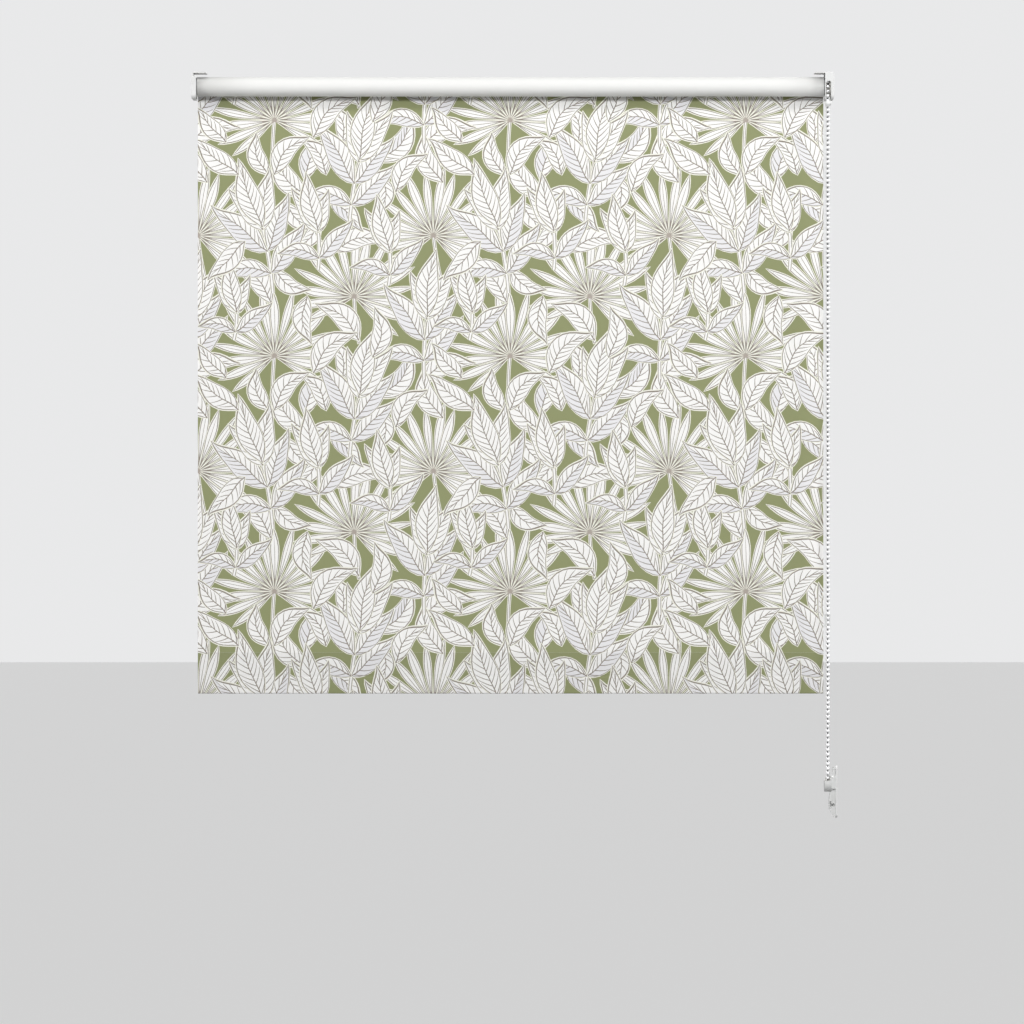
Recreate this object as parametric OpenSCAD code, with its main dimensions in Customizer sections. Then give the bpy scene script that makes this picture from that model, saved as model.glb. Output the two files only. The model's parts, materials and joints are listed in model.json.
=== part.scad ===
// Chain-operated roller blind for a window recess, hanging at working height.
// X runs along the roller with the chain at +X, -Y faces the room, +Z is up.
// The origin is the middle of the four ceiling screw holes, on the head of the recess.

/* [Fabric] */
// Width of the fabric
fabric_w = 800; // [500:10:1200]
// Distance from the roller's axis down to the bottom edge of the fabric
fabric_drop_h = 775; // [500:5:850]
// Thickness of the fabric
fabric_t = 0.35; // [0.25:0.05:0.5]
// Height of the hem pocket at the bottom edge
hem_h = 23.4; // [22:0.2:40]

/* [Roller] */
// Depth of the roller's axis below the head of the recess
axis_depth = 18.2; // [17.6:0.2:30]
// Outer diameter of the aluminium tube
tube_d = 20; // [19:0.5:20.5]
// Wall of the aluminium tube
tube_wall = 1; // [0.8:0.1:1.2]
// Diameter of the tube with the fabric wound on it
roll_d = 25.2; // [24:0.2:27]

/* [Chain] */
// Distance between beads
bead_pitch = 6; // [5.8:0.1:6.2]
// Diameter of a bead
bead_d = 4.5; // [4:0.1:4.6]
// Number of beads in the endless loop
chain_beads = 306; // [280:2:330]
// Number of bead pockets round the drive wheel
wheel_beads = 12; // [11:1:12]
// Full turns of the roller from lowered to raised
turns_up = 9; // [4:1:9]

/* [Brackets] */
// Thickness of the steel plate
plate_t = 1.5; // [1.2:0.1:1.6]
// Diameter of a ceiling screw hole
screw_hole_d = 4.5; // [4:0.5:5]
// Distance between the two screw holes of one bracket
screw_spacing = 16; // [14:1:18]

/* [Safety device] */
// Distance from the middle of the blind to the side wall of the recess
wall_x = 416.7; // [416:0.1:418]
// Diameter of the wall screw hole
wall_hole_d = 3.8; // [3.5:0.1:4.2]

/* [Hidden] */

$fn = 64;
TINY = 0.01;

// Main places
fabric_half = fabric_w / 2;
axis_z = -axis_depth;
tube_r = tube_d / 2;
tube_bore_r = tube_r - tube_wall;
roll_r = roll_d / 2;
tape_t = 0.2;

// The chain's wheels and its loop
chain_x = fabric_half + 4.8;
bead_r = bead_d / 2;
wheel_r = bead_pitch / (2 * sin(180 / wheel_beads));
pulley_beads = 7;
pulley_r = bead_pitch / (2 * sin(180 / pulley_beads));
chain_drop = (chain_beads * bead_pitch - PI * (wheel_r + pulley_r)) / 2;
pulley_z = axis_z - chain_drop;
strand_tilt = asin((wheel_r - pulley_r) / chain_drop);
chain_travel = turns_up * 2 * PI * wheel_r;
groove_r = bead_r + 0.35;
collar_bore_r = bead_r + 0.35;

// Brackets and their covers
bracket_y = 16.5;
plate_bottom = -33.4;
chain_plate_x = fabric_half + 9.6;
idle_plate_x = fabric_half + 4.5;
flange_reach = 12;
flange_hole_x = 4;
cover_wall = 1.2;
cover_cap = 1.05;
cover_y = 18.5;
cover_mouth = fabric_half + 0.9;
cover_bottom = -36;
chain_slot = [2, 8.4];
chain_slot_top = -11.7;
idle_cover_y = 17.8;
idle_cover_top = -5.2;
idle_cover_bottom = -35;

// Clutch, measured from the fabric's edge
wheel_x = [1.6, 8];
spindle_core_r = 4;
spindle_journal_r = 6;
running = 0.05;

// Hem, hung in line with the fabric
sheet_y = roll_r + 0.3;
hem_top = -axis_depth - fabric_drop_h + hem_h;
hem_bottom = -axis_depth - fabric_drop_h;
bar_h = 17;
bar_t = 3.2;
bar_wall = 0.8;
bar_end = 3;
bar_y = sheet_y + fabric_t + 0.1;
bar_z = hem_bottom + fabric_t + 0.4;

// Chain safety device on the side wall
plate_back_t = 2;
cheek_x = [0.5, 1.7];
back_cheek_x = [7.9, 9.4];
housing_r = 11.2;
housing_bore_r = 10;
housing_top = pulley_z + 3.6;
wall_screw_z = pulley_z - 27.7;

// Draws a profile of the YZ plane from x0 on, along X
module along_x(x0, length) {
    translate([x0, 0, 0])
        rotate([90, 0, 90])
            linear_extrude(length)
                children();
}

// Draws a profile of the XZ plane from y0 on, along Y
module along_y(y0, length) {
    translate([0, y0 + length, 0])
        rotate([90, 0, 0])
            linear_extrude(length)
                children();
}

// A round bar on the roller's axis between two places along X
module shaft(x0, x1, r) {
    translate([x0, 0, axis_z])
        rotate([0, 90, 0])
            cylinder(h = x1 - x0, r = r);
}

// Turns a profile of radius against place round the roller's axis, starting at x0
module turned(x0, z = axis_z) {
    translate([x0, 0, z])
        rotate([0, 90, 0])
            rotate_extrude($fn = 96)
                children();
}

module round_rect(low, high, r) {
    translate([low[0] + r, low[1]])
        square([high[0] - low[0] - 2 * r, high[1] - low[1]]);
    translate([low[0], low[1] + r])
        square([high[0] - low[0], high[1] - low[1] - 2 * r]);
    for (x = [low[0] + r, high[0] - r], y = [low[1] + r, high[1] - r])
        translate([x, y])
            circle(r = r);
}

// Steel angle: side plate with a rounded bend into the ceiling flange, at +X
module bracket_plate(x0) {
    bend_r = 2.4;
    x1 = x0 + plate_t;
    difference() {
        intersection() {
            along_y(-bracket_y, 2 * bracket_y)
                difference() {
                    union() {
                        translate([fabric_half - flange_reach, plate_bottom])
                            square([x1 - bend_r - fabric_half + flange_reach, -plate_bottom]);
                        translate([fabric_half - flange_reach, plate_bottom])
                            square([x1 - fabric_half + flange_reach, -plate_bottom - bend_r]);
                        translate([x1 - bend_r, -bend_r])
                            circle(r = bend_r);
                    }
                    translate([fabric_half - flange_reach - 1, plate_bottom - 1])
                        square([x0 - fabric_half + flange_reach + 1, 1 - plate_bottom - plate_t]);
                }
            along_x(fabric_half - flange_reach - 1, 60)
                union() {
                    round_rect([-bracket_y, plate_bottom], [bracket_y, -6], 5);
                    translate([-bracket_y, -14])
                        square([2 * bracket_y, 14]);
                }
        }
        for (side = [-1, 1])
            translate([fabric_half - flange_hole_x, side * screw_spacing / 2, -plate_t - 1])
                cylinder(h = plate_t + 2, d = screw_hole_d);
    }
}

module chain_bracket() {
    color("gainsboro")
        difference() {
            bracket_plate(chain_plate_x);
            translate([chain_plate_x - 1, -3.6, axis_z - 3.6])
                cube([plate_t + 2, 7.2, 7.2]);
        }
}

module idle_bracket() {
    color("gainsboro")
        mirror([1, 0, 0])
            difference() {
                bracket_plate(idle_plate_x);
                shaft(idle_plate_x - 1, idle_plate_x + plate_t + 1, 5);
            }
}

// Snap-on cap round a bracket, open at the top and towards the fabric, at +X
module cap(plate_x, half_y, top, bottom) {
    edge_r = 3;
    corner_r = 6;
    inner_x = plate_x + plate_t + 0.05;
    outer_x = inner_x + cover_cap;
    difference() {
        intersection() {
            along_y(-half_y, 2 * half_y)
                round_rect([cover_mouth - 2 * edge_r, bottom], [outer_x, top], edge_r);
            along_x(cover_mouth, outer_x - cover_mouth)
                union() {
                    round_rect([-half_y, bottom], [half_y, top - 2], corner_r);
                    round_rect([-half_y, bottom + 14], [half_y, top], 1.2);
                }
        }
        along_x(cover_mouth - 1, inner_x - cover_mouth + 1)
            union() {
                round_rect(
                    [cover_wall - half_y, bottom + cover_wall],
                    [half_y - cover_wall, top - 2],
                    corner_r - cover_wall
                );
                translate([cover_wall - half_y, bottom + 14])
                    square([2 * (half_y - cover_wall), top - bottom]);
            }
    }
}

module chain_bracket_cover() {
    slot_low = fabric_half + chain_slot[0];
    slot_high = fabric_half + chain_slot[1];
    color("white")
        difference() {
            cap(chain_plate_x, cover_y, 0, cover_bottom);
            for (y0 = [-cover_y - 1, wheel_r - bead_r - 2.5])
                along_y(y0, cover_y + 1 - wheel_r + bead_r + 2.5)
                    round_rect([slot_low, cover_bottom - 10], [slot_high, chain_slot_top], 2.4);
        }
}

module idle_bracket_cover() {
    color("white")
        mirror([1, 0, 0])
            difference() {
                cap(idle_plate_x, idle_cover_y, idle_cover_top, idle_cover_bottom);
                // Two short grip notches in the room-side wall
                for (z = [-12.5, -15.5])
                    translate([fabric_half + 4, -idle_cover_y - 1, z - 0.6])
                        cube([4, 1.4, 1.2]);
            }
}

module clutch_spindle() {
    color("dimgray")
        difference() {
            union() {
                shaft(fabric_half - 19.5, fabric_half + wheel_x[0], spindle_core_r);
                shaft(fabric_half + wheel_x[0], fabric_half + 8.4, spindle_journal_r);
                shaft(fabric_half + 8.3, chain_plate_x, 9);
                translate([chain_plate_x, -3.5, axis_z - 3.5])
                    cube([plate_t, 7, 7]);
            }
            shaft(fabric_half - 20, fabric_half - 8, 1.5);
        }
}

module clutch_chain_guard() {
    plate_x = fabric_half + 8.3;
    color("whitesmoke")
        difference() {
            union() {
                shaft(plate_x, chain_plate_x, 15.8);
                difference() {
                    shaft(fabric_half + 1.5, plate_x + TINY, 15.8);
                    shaft(fabric_half, plate_x + 1, 14.5);
                    // Everything below the top of the chain slots stays open
                    translate([fabric_half, -20, axis_z - 20])
                        cube([12, 40, 20 + chain_slot_top - axis_z + 0.6]);
                }
            }
            shaft(plate_x - 1, chain_plate_x + 1, 9.1);
        }
}

module clutch_end_washer() {
    color("silver")
        difference() {
            shaft(fabric_half - 20.4, fabric_half - 19.6, 6.5);
            shaft(fabric_half - 21, fabric_half - 19, 1.7);
        }
}

module clutch_retaining_screw() {
    color("silver")
        difference() {
            union() {
                shaft(fabric_half - 22.6, fabric_half - 20.4, 3);
                shaft(fabric_half - 20.5, fabric_half - 9, 1.45);
            }
            // Cross recess in the head
            for (turn = [0, 90])
                translate([fabric_half - 22.6, 0, axis_z])
                    rotate([turn, 0, 0])
                        cube([2, 4, 0.8], center = true);
        }
}

// Grooved wheel on the roller's axis, with a pocket for each bead
module chain_wheel() {
    width = wheel_x[1] - wheel_x[0];
    color("whitesmoke")
        difference() {
            shaft(fabric_half + wheel_x[0], fabric_half + wheel_x[1], wheel_r + 1.4);
            shaft(fabric_half, fabric_half + 9, spindle_journal_r + running);
            turned(chain_x)
                translate([wheel_r, 0])
                    circle(r = groove_r);
            for (i = [0 : wheel_beads - 1])
                translate([chain_x, 0, axis_z])
                    rotate([i * 360 / wheel_beads, 0, 0])
                        translate([0, 0, wheel_r + 0.6])
                            sphere(r = width / 2 - 0.1);
        }
}

module clutch_crown() {
    bore_r = 5.5;
    color("lightgray")
        difference() {
            union() {
                shaft(fabric_half - 19, fabric_half, tube_bore_r - 0.05);
                shaft(fabric_half, fabric_half + 1.3, tube_r + 1);
            }
            shaft(fabric_half - 15, fabric_half + 2, bore_r);
            shaft(fabric_half - 20, fabric_half - 14, spindle_core_r + running);
            // Slot for the tangs of the springs
            translate([fabric_half - 15, -1.6, axis_z + 4])
                cube([17, 3.2, 2.9]);
            tube_rib_slots(fabric_half - 20, fabric_half);
        }
}

// Grooves of an end piece that take the two ribs inside the tube
module tube_rib_slots(x0, x1) {
    for (side = [-1, 1])
        translate([x0, side * (tube_bore_r - 0.7) - 1, axis_z - 1])
            cube([x1 - x0, 2, 2]);
}

module clutch_wrap_springs() {
    coil_pitch = 1.1;
    coils = 4;
    color("darkgray")
        for (x0 = [-14.6, -9.6, -4.6]) {
            turned(fabric_half + x0)
                difference() {
                    translate([spindle_core_r + running, 0])
                        square([1.15, coils * coil_pitch]);
                    for (i = [1 : coils - 1])
                        translate([spindle_core_r + 1.25, i * coil_pitch - 0.1])
                            square([0.4, 0.2]);
                }
            translate([fabric_half + x0, -0.5, axis_z + 4.9])
                cube([1, 1, 1.7]);
        }
}

module roller_tube() {
    color("silver")
        union() {
            difference() {
                shaft(-fabric_half, fabric_half, tube_r);
                shaft(-fabric_half - 1, fabric_half + 1, tube_bore_r);
            }
            for (side = [-1, 1])
                along_x(-fabric_half, fabric_w)
                    translate([side * (tube_bore_r - 0.2) - 0.9, axis_z - 0.8])
                        square([1.8, 1.6]);
        }
}

module fabric_tape() {
    color("ivory")
        intersection() {
            difference() {
                shaft(2 - fabric_half, fabric_half - 2, tube_r + tape_t);
                shaft(-fabric_half, fabric_half, tube_r);
            }
            translate([-fabric_half, 0, axis_z - 5])
                cube([fabric_w, 20, 10]);
        }
}

module wound_fabric() {
    color("white")
        difference() {
            shaft(-fabric_half, fabric_half, roll_r);
            shaft(-fabric_half - 1, fabric_half + 1, tube_r + tape_t + 0.02);
        }
}

module idle_end_plug() {
    color("lightgray")
        mirror([1, 0, 0])
            difference() {
                union() {
                    shaft(fabric_half - 28, fabric_half, tube_bore_r - 0.05);
                    shaft(fabric_half, fabric_half + 1.2, tube_r + 1);
                }
                shaft(fabric_half - 26, fabric_half - 3, 5.4);
                shaft(fabric_half - 4, fabric_half + 2, 3 + running);
                shaft(fabric_half - 29, fabric_half - 25, 2.4 + running);
                tube_rib_slots(fabric_half - 29, fabric_half);
            }
}

module idle_pin() {
    color("gray")
        mirror([1, 0, 0])
            union() {
                shaft(fabric_half - 5.4, fabric_half + 5.2, 3);
                // The nose is tapered in two steps
                shaft(fabric_half + 5.2, fabric_half + 5.6, 2.6);
                shaft(fabric_half - 5.4, fabric_half - 3.4, 5.1);
                shaft(fabric_half - 24.5, fabric_half - 5.4, 2.4);
            }
}

// Points of a round wire that winds round the roller's axis
function coil_point(t, length, turns, r) =
    [length * t, r * cos(360 * turns * t), r * sin(360 * turns * t)];

module idle_spring() {
    turns = 8;
    steps = 12 * turns;
    sides = 8;
    wire_r = 0.45;
    coil_r = 4;
    length = 19;
    path = [for (i = [0 : steps]) coil_point(i / steps, length, turns, coil_r)];
    ring = [
        for (i = [0 : steps])
            let (
                a = 360 * turns * i / steps,
                out = [0, cos(a), sin(a)]
            )
            for (j = [0 : sides - 1])
                path[i] + wire_r * (cos(360 * j / sides) * out + sin(360 * j / sides) * [1, 0, 0])
    ];
    walls = [
        for (i = [0 : steps - 1], j = [0 : sides - 1])
            let (k = (j + 1) % sides)
            [i * sides + j, i * sides + k, (i + 1) * sides + k, (i + 1) * sides + j]
    ];
    ends = [
        [for (j = [sides - 1 : -1 : 0]) j],
        [for (j = [0 : sides - 1]) steps * sides + j]
    ];
    color("gray")
        translate([6.1 - fabric_half, 0, axis_z])
            polyhedron(ring, concat(walls, ends));
}

module idle_bearing_bush() {
    color("white")
        mirror([1, 0, 0])
            difference() {
                union() {
                    shaft(fabric_half + 3.1, idle_plate_x, 7.5);
                    shaft(idle_plate_x, idle_plate_x + plate_t, 4.98);
                }
                shaft(fabric_half + 3, idle_plate_x + plate_t + 1, 3 + running);
            }
}

// Single layer of fabric from the back of the roll to the hem
module fabric_drop() {
    color("darkseagreen")
        translate([-fabric_half, sheet_y, hem_top])
            cube([fabric_w, fabric_t, axis_z - hem_top]);
}

// Folded and sealed pocket, flat towards the room and bulging behind
module hem_pocket() {
    back_y = bar_y + bar_t + 0.1 + fabric_t;
    seal = 2.6;
    shoulder = 0.6;
    color("darkseagreen")
        along_x(-fabric_half, fabric_w)
            difference() {
                polygon([
                    [sheet_y, hem_top],
                    [sheet_y, hem_bottom + 0.4],
                    [sheet_y + 0.4, hem_bottom],
                    [back_y - 1, hem_bottom],
                    [back_y, hem_bottom + 1],
                    [back_y, bar_z + bar_h - shoulder],
                    [sheet_y + 2 * fabric_t, hem_top - seal],
                    [sheet_y + 2 * fabric_t, hem_top]
                ]);
                polygon([
                    [sheet_y + fabric_t, hem_top - seal],
                    [sheet_y + fabric_t, hem_bottom + fabric_t],
                    [back_y - 1 - fabric_t / 2, hem_bottom + fabric_t],
                    [back_y - fabric_t, hem_bottom + 1 + fabric_t / 2],
                    [back_y - fabric_t, bar_z + bar_h - shoulder - fabric_t / 2],
                    [sheet_y + fabric_t + 0.05, hem_top - seal]
                ]);
            }
}

module bar_profile(inset) {
    translate([inset, inset])
        round_rect(
            [bar_y, bar_z],
            [bar_y + bar_t - 2 * inset, bar_z + bar_h - 2 * inset],
            bar_t / 2 - inset - TINY
        );
}

// Hollow flat bar with one web
module hem_bar() {
    web = 0.8;
    color("silver")
        along_x(bar_end - fabric_half, fabric_w - 2 * bar_end)
            union() {
                difference() {
                    bar_profile(0);
                    bar_profile(bar_wall);
                }
                translate([bar_y + bar_wall / 2, bar_z + bar_h / 2 - web / 2])
                    square([bar_t - bar_wall, web]);
            }
}

module hem_cap() {
    outer = fabric_half - 0.4;
    head = fabric_half - bar_end;
    color("white")
        union() {
            along_x(head, outer - head)
                bar_profile(0);
            for (z0 = [bar_z + 1.6, bar_z + bar_h / 2 + 0.8])
                translate([head - 12, bar_y + bar_wall + 0.15, z0])
                    cube([12 + TINY, bar_t - 2 * bar_wall - 0.3, 5.4]);
        }
}

module hem_cap_left() {
    mirror([1, 0, 0])
        hem_cap();
}

module hem_cap_right() {
    hem_cap();
}

// The loop as a belt round both wheels: a place and its outward direction for each ring
function belt_arc(z, r, from, to, steps) = [
    for (i = [0 : steps])
        let (a = from + (to - from) * i / steps)
        [[0, r * cos(a), z + r * sin(a)], [0, cos(a), sin(a)]]
];

function belt_line(a, b, steps) = [
    for (i = [1 : steps - 1])
        [a[0] + (b[0] - a[0]) * i / steps, a[1]]
];

module bead_chain() {
    sides = 8;
    top = belt_arc(axis_z, wheel_r, -strand_tilt, 180 + strand_tilt, 16);
    low = belt_arc(pulley_z, pulley_r, 180 + strand_tilt, 360 - strand_tilt, 12);
    route = concat(top, belt_line(top[16], low[0], 20), low, belt_line(low[12], top[0], 20));
    rings = len(route);
    points = [
        for (stop = route, j = [0 : sides - 1])
            stop[0] + bead_r * (cos(360 * j / sides) * stop[1] + sin(360 * j / sides) * [1, 0, 0])
    ];
    walls = [
        for (i = [0 : rings - 1], j = [0 : sides - 1])
            let (k = (j + 1) % sides, n = (i + 1) % rings)
            [i * sides + j, n * sides + j, n * sides + k, i * sides + k]
    ];
    color("lightsteelblue")
        translate([chain_x, 0, 0])
            polyhedron(points, walls);
}

// Puts a piece on a strand at a height: side -1 is the room-side strand, 1 the window-side one
module on_strand(side, z) {
    y = wheel_r - (axis_z - z) * tan(strand_tilt);
    translate([chain_x, side * y, z])
        rotate([-side * strand_tilt, 0, 0])
            children();
}

// Ball clamped over the chain, which stops under the chain bracket's cover
module chain_stop() {
    color("whitesmoke")
        on_strand(-1, cover_bottom - 3.6)
            difference() {
                intersection() {
                    sphere(r = 4.2);
                    cube([10, 10, 6.6], center = true);
                }
                cylinder(h = 10, r = collar_bore_r, center = true);
            }
}

// Snap-on sleeve that joins the two ends of the chain
module chain_joiner() {
    length = 15;
    lip = 1.4;
    color("whitesmoke")
        on_strand(1, cover_bottom - 0.4 - chain_travel - length / 2)
            difference() {
                union() {
                    cylinder(h = length, r = 3.5, center = true);
                    for (side = [-1, 1])
                        translate([0, 0, side * (length - lip) / 2])
                            cylinder(h = lip, r = 4.1, center = true);
                }
                cylinder(h = length + 2, r = collar_bore_r, center = true);
                translate([-5, -5, -1.2])
                    cube([10, 1.8, 2.4]);
            }
}

// Outline of the device's pulley housing, in the YZ plane, round below and cut off at the top
module housing_outline(r, top) {
    intersection() {
        union() {
            translate([0, pulley_z])
                circle(r = r, $fn = 96);
            translate([-r, pulley_z])
                square([2 * r, top - pulley_z]);
        }
        translate([-r, pulley_z - r])
            square([2 * r, top - pulley_z + r]);
    }
}

// Wall plate with the inner cheek, the screw boss and the release clip in one moulding
module safety_back() {
    plate_x = wall_x - plate_back_t;
    cheek_low = fabric_half + back_cheek_x[0];
    boss_x = fabric_half + 6.3;
    boss_y = 5.6;
    head_r = 4.8;
    color("white")
        difference() {
            union() {
                along_x(plate_x, plate_back_t)
                    round_rect([-9, pulley_z - 43.8], [9, pulley_z + 22], 4);
                along_x(cheek_low, back_cheek_x[1] - back_cheek_x[0])
                    housing_outline(housing_r, pulley_z + 10);
                // Bridge between the cheek and the wall plate
                along_x(cheek_low, plate_x - cheek_low + TINY)
                    difference() {
                        round_rect([-8, pulley_z - 8], [8, pulley_z + 9.6], 2);
                        round_rect([-6.6, pulley_z - 6.6], [6.6, pulley_z + 8.2], 1.2);
                    }
                // Boss for the wall screw, tapering down to the wall
                along_y(-boss_y, 2 * boss_y)
                    polygon([
                        [cheek_low + 1.5, pulley_z - 9],
                        [cheek_low, pulley_z - 11.8],
                        [boss_x, pulley_z - 21],
                        [boss_x, pulley_z - 32],
                        [plate_x - 2, pulley_z - 43],
                        [plate_x + TINY, pulley_z - 43],
                        [plate_x + TINY, pulley_z - 8]
                    ]);
                // Release clip hooked over the top
                along_y(-4, 8)
                    polygon([
                        [plate_x + TINY, pulley_z + 21],
                        [plate_x - 2.2, pulley_z + 21],
                        [plate_x - 4, pulley_z + 19],
                        [plate_x - 4, pulley_z + 13],
                        [plate_x - 2.6, pulley_z + 13],
                        [plate_x - 2.6, pulley_z + 17.6],
                        [plate_x + TINY, pulley_z + 18.6]
                    ]);
            }
            // Hole of the pulley's pin
            translate([cheek_low - 1, 0, pulley_z])
                rotate([0, 90, 0])
                    cylinder(h = 3, r = 1.85);
            // Screw hole with its head recess, both seen through a window in the room side
            translate([boss_x - 1, 0, wall_screw_z])
                rotate([0, 90, 0])
                    cylinder(h = 4.1, r = head_r);
            translate([boss_x, 0, wall_screw_z])
                rotate([0, 90, 0])
                    cylinder(h = 20, d = wall_hole_d);
            translate([boss_x + 0.8, -boss_y - 1, wall_screw_z - head_r])
                cube([2.3, boss_y + 1, 2 * head_r]);
            translate([boss_x + 3, -boss_y - 1, wall_screw_z - wall_hole_d / 2])
                cube([4, boss_y + 1, wall_hole_d]);
        }
}

// Outer cheek with the wall round the pulley, open at the top for the chain
module safety_cover() {
    cheek_low = fabric_half + cheek_x[0];
    wall_low = fabric_half + cheek_x[1];
    wall_high = fabric_half + back_cheek_x[0] - 0.05;
    color("white")
        difference() {
            union() {
                along_x(cheek_low, cheek_x[1] - cheek_x[0])
                    housing_outline(housing_r, housing_top);
                along_x(wall_low - TINY, wall_high - wall_low + TINY)
                    difference() {
                        housing_outline(housing_r, housing_top);
                        housing_outline(housing_bore_r, housing_top + 1);
                    }
            }
            translate([cheek_low - 1, 0, pulley_z])
                rotate([0, 90, 0])
                    cylinder(h = 4, r = 1.85);
        }
}

module safety_pulley() {
    x0 = fabric_half + 2;
    x1 = fabric_half + 7.6;
    color("whitesmoke")
        difference() {
            translate([x0, 0, pulley_z])
                rotate([0, 90, 0])
                    cylinder(h = x1 - x0, r = pulley_r + 1.4);
            translate([x0 - 1, 0, pulley_z])
                rotate([0, 90, 0])
                    cylinder(h = 10, r = 1.8 + running);
            turned(chain_x, pulley_z)
                translate([pulley_r, 0])
                    circle(r = groove_r);
        }
}

module safety_pin() {
    color("silver")
        translate([fabric_half + cheek_x[0], 0, pulley_z])
            rotate([0, 90, 0])
                cylinder(h = back_cheek_x[1] - cheek_x[0] + 0.4, r = 1.8);
}

chain_bracket();
chain_bracket_cover();
clutch_spindle();
clutch_chain_guard();
clutch_end_washer();
clutch_retaining_screw();
chain_wheel();
clutch_crown();
clutch_wrap_springs();
roller_tube();
fabric_tape();
wound_fabric();
idle_end_plug();
idle_pin();
idle_spring();
idle_bearing_bush();
idle_bracket();
idle_bracket_cover();
fabric_drop();
hem_pocket();
hem_bar();
hem_cap_left();
hem_cap_right();
bead_chain();
chain_stop();
chain_joiner();
safety_back();
safety_cover();
safety_pulley();
safety_pin();
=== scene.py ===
import json
import math

import bmesh
import bpy
from mathutils import Matrix, Vector, geometry


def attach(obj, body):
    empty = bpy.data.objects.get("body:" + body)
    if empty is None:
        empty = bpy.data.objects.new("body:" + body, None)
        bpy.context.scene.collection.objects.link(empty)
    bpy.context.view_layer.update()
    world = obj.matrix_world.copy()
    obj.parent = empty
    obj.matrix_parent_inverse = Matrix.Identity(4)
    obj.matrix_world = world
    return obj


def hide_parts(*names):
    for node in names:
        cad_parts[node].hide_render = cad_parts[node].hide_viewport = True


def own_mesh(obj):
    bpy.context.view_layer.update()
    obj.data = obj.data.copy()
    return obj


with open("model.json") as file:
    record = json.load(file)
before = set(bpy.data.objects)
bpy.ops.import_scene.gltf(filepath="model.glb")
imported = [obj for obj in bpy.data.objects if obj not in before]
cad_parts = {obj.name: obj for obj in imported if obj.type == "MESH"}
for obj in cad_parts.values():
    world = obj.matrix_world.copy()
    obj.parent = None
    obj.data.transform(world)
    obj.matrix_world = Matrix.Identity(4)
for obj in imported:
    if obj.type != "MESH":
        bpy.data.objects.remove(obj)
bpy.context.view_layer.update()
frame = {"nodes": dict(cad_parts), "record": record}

MM = 0.001

# The blind, in millimetres, as in the CAD model
FABRIC_W = 800.0
FABRIC_T = 0.35
AXIS_Z = -18.2
DROP_H = 775.0
HEM_BAND_H = 52.5
HEM_POCKET_H = 23.4
SHEET_Y = 12.9
POCKET_BACK_Y = 17.0
HEM_BOTTOM = AXIS_Z - DROP_H
BAND_TOP = HEM_BOTTOM + HEM_BAND_H
POCKET_TOP = HEM_BOTTOM + HEM_POCKET_H
SEAL_H = 2.6
TUBE_TAPE_R = 10.25
ROLL_R = 12.6
WRAP_PITCH = 0.372

BEAD_PITCH = 6.0
BEAD_R = 2.25
LINK_R = 0.62
CHAIN_X = 404.8
WHEEL_R = 11.59111
PULLEY_R = 6.914295
CHAIN_DROP = 888.93178
PULLEY_Z = AXIS_Z - CHAIN_DROP

SPRING_X = -393.9
SPRING_LENGTH = 19.0
SPRING_TURNS = 8
SPRING_R = 4.0
WIRE_R = 0.45


# Camera and room

CAMERA_DISTANCE = 8.0
VIEW_WIDTH = 1.3076
VIEW_MIDDLE = (0.0018, -0.561)
ROOM_LIGHT = 0.15
ROOM_SEEN = 0.82
FLOOR_Z = -2.0
FLOOR_SIDE = 60.0
FLOOR_SEEN = 0.52


def make_camera():
    """Square on to the blind, far enough away for almost no perspective"""
    data = bpy.data.cameras.new("camera")
    data.sensor_width = 36.0
    data.lens = data.sensor_width * CAMERA_DISTANCE / VIEW_WIDTH
    data.clip_end = 60.0
    camera = bpy.data.objects.new("camera", data)
    camera.location = (VIEW_MIDDLE[0], -CAMERA_DISTANCE, VIEW_MIDDLE[1])
    camera.rotation_euler = (math.radians(90), 0, 0)
    bpy.context.scene.collection.objects.link(camera)
    bpy.context.scene.camera = camera


def area_light(name, place, target, size, power, colour=(1, 1, 1)):
    """A rectangular lamp that faces the target"""
    data = bpy.data.lights.new(name, "AREA")
    data.shape = "RECTANGLE"
    data.size, data.size_y = size
    data.energy = power
    data.color = colour
    light = bpy.data.objects.new(name, data)
    light.location = place
    light.rotation_euler = (Vector(target) - Vector(place)).to_track_quat("-Z", "Y").to_euler()
    bpy.context.scene.collection.objects.link(light)


def make_lights():
    middle = (0, 0, -0.45)
    area_light("key", (-0.6, -2.6, 2.4), middle, (3.2, 0.7), 58, (1.0, 0.99, 0.975))
    area_light("front", (0.5, -3.5, 1.1), middle, (3.2, 0.5), 73, (0.985, 0.99, 1.0))
    area_light("right", (3.4, -1.6, 0.7), middle, (1.0, 1.0), 34)
    area_light("left", (-3.4, -1.9, 0.7), middle, (1.0, 1.0), 20)
    area_light("back", (0.6, 2.6, 1.2), middle, (2.0, 1.6), 45)
    area_light("back right", (2.2, 2.8, 0.5), middle, (1.2, 1.2), 36)
    make_world()
    bpy.context.scene.view_settings.view_transform = "Standard"


def seen_strength(tree, light, seen, node):
    """Gives a node one strength as a light and another where it is seen or mirrored"""
    ray = tree.nodes.new("ShaderNodeLightPath")
    either = tree.nodes.new("ShaderNodeMath")
    either.operation = "MAXIMUM"
    strength = tree.nodes.new("ShaderNodeMapRange")
    strength.inputs["To Min"].default_value = light
    strength.inputs["To Max"].default_value = seen
    tree.links.new(ray.outputs["Is Camera Ray"], either.inputs[0])
    tree.links.new(ray.outputs["Is Glossy Ray"], either.inputs[1])
    tree.links.new(either.outputs[0], strength.inputs["Value"])
    tree.links.new(strength.outputs[0], node.inputs["Strength"])


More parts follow.
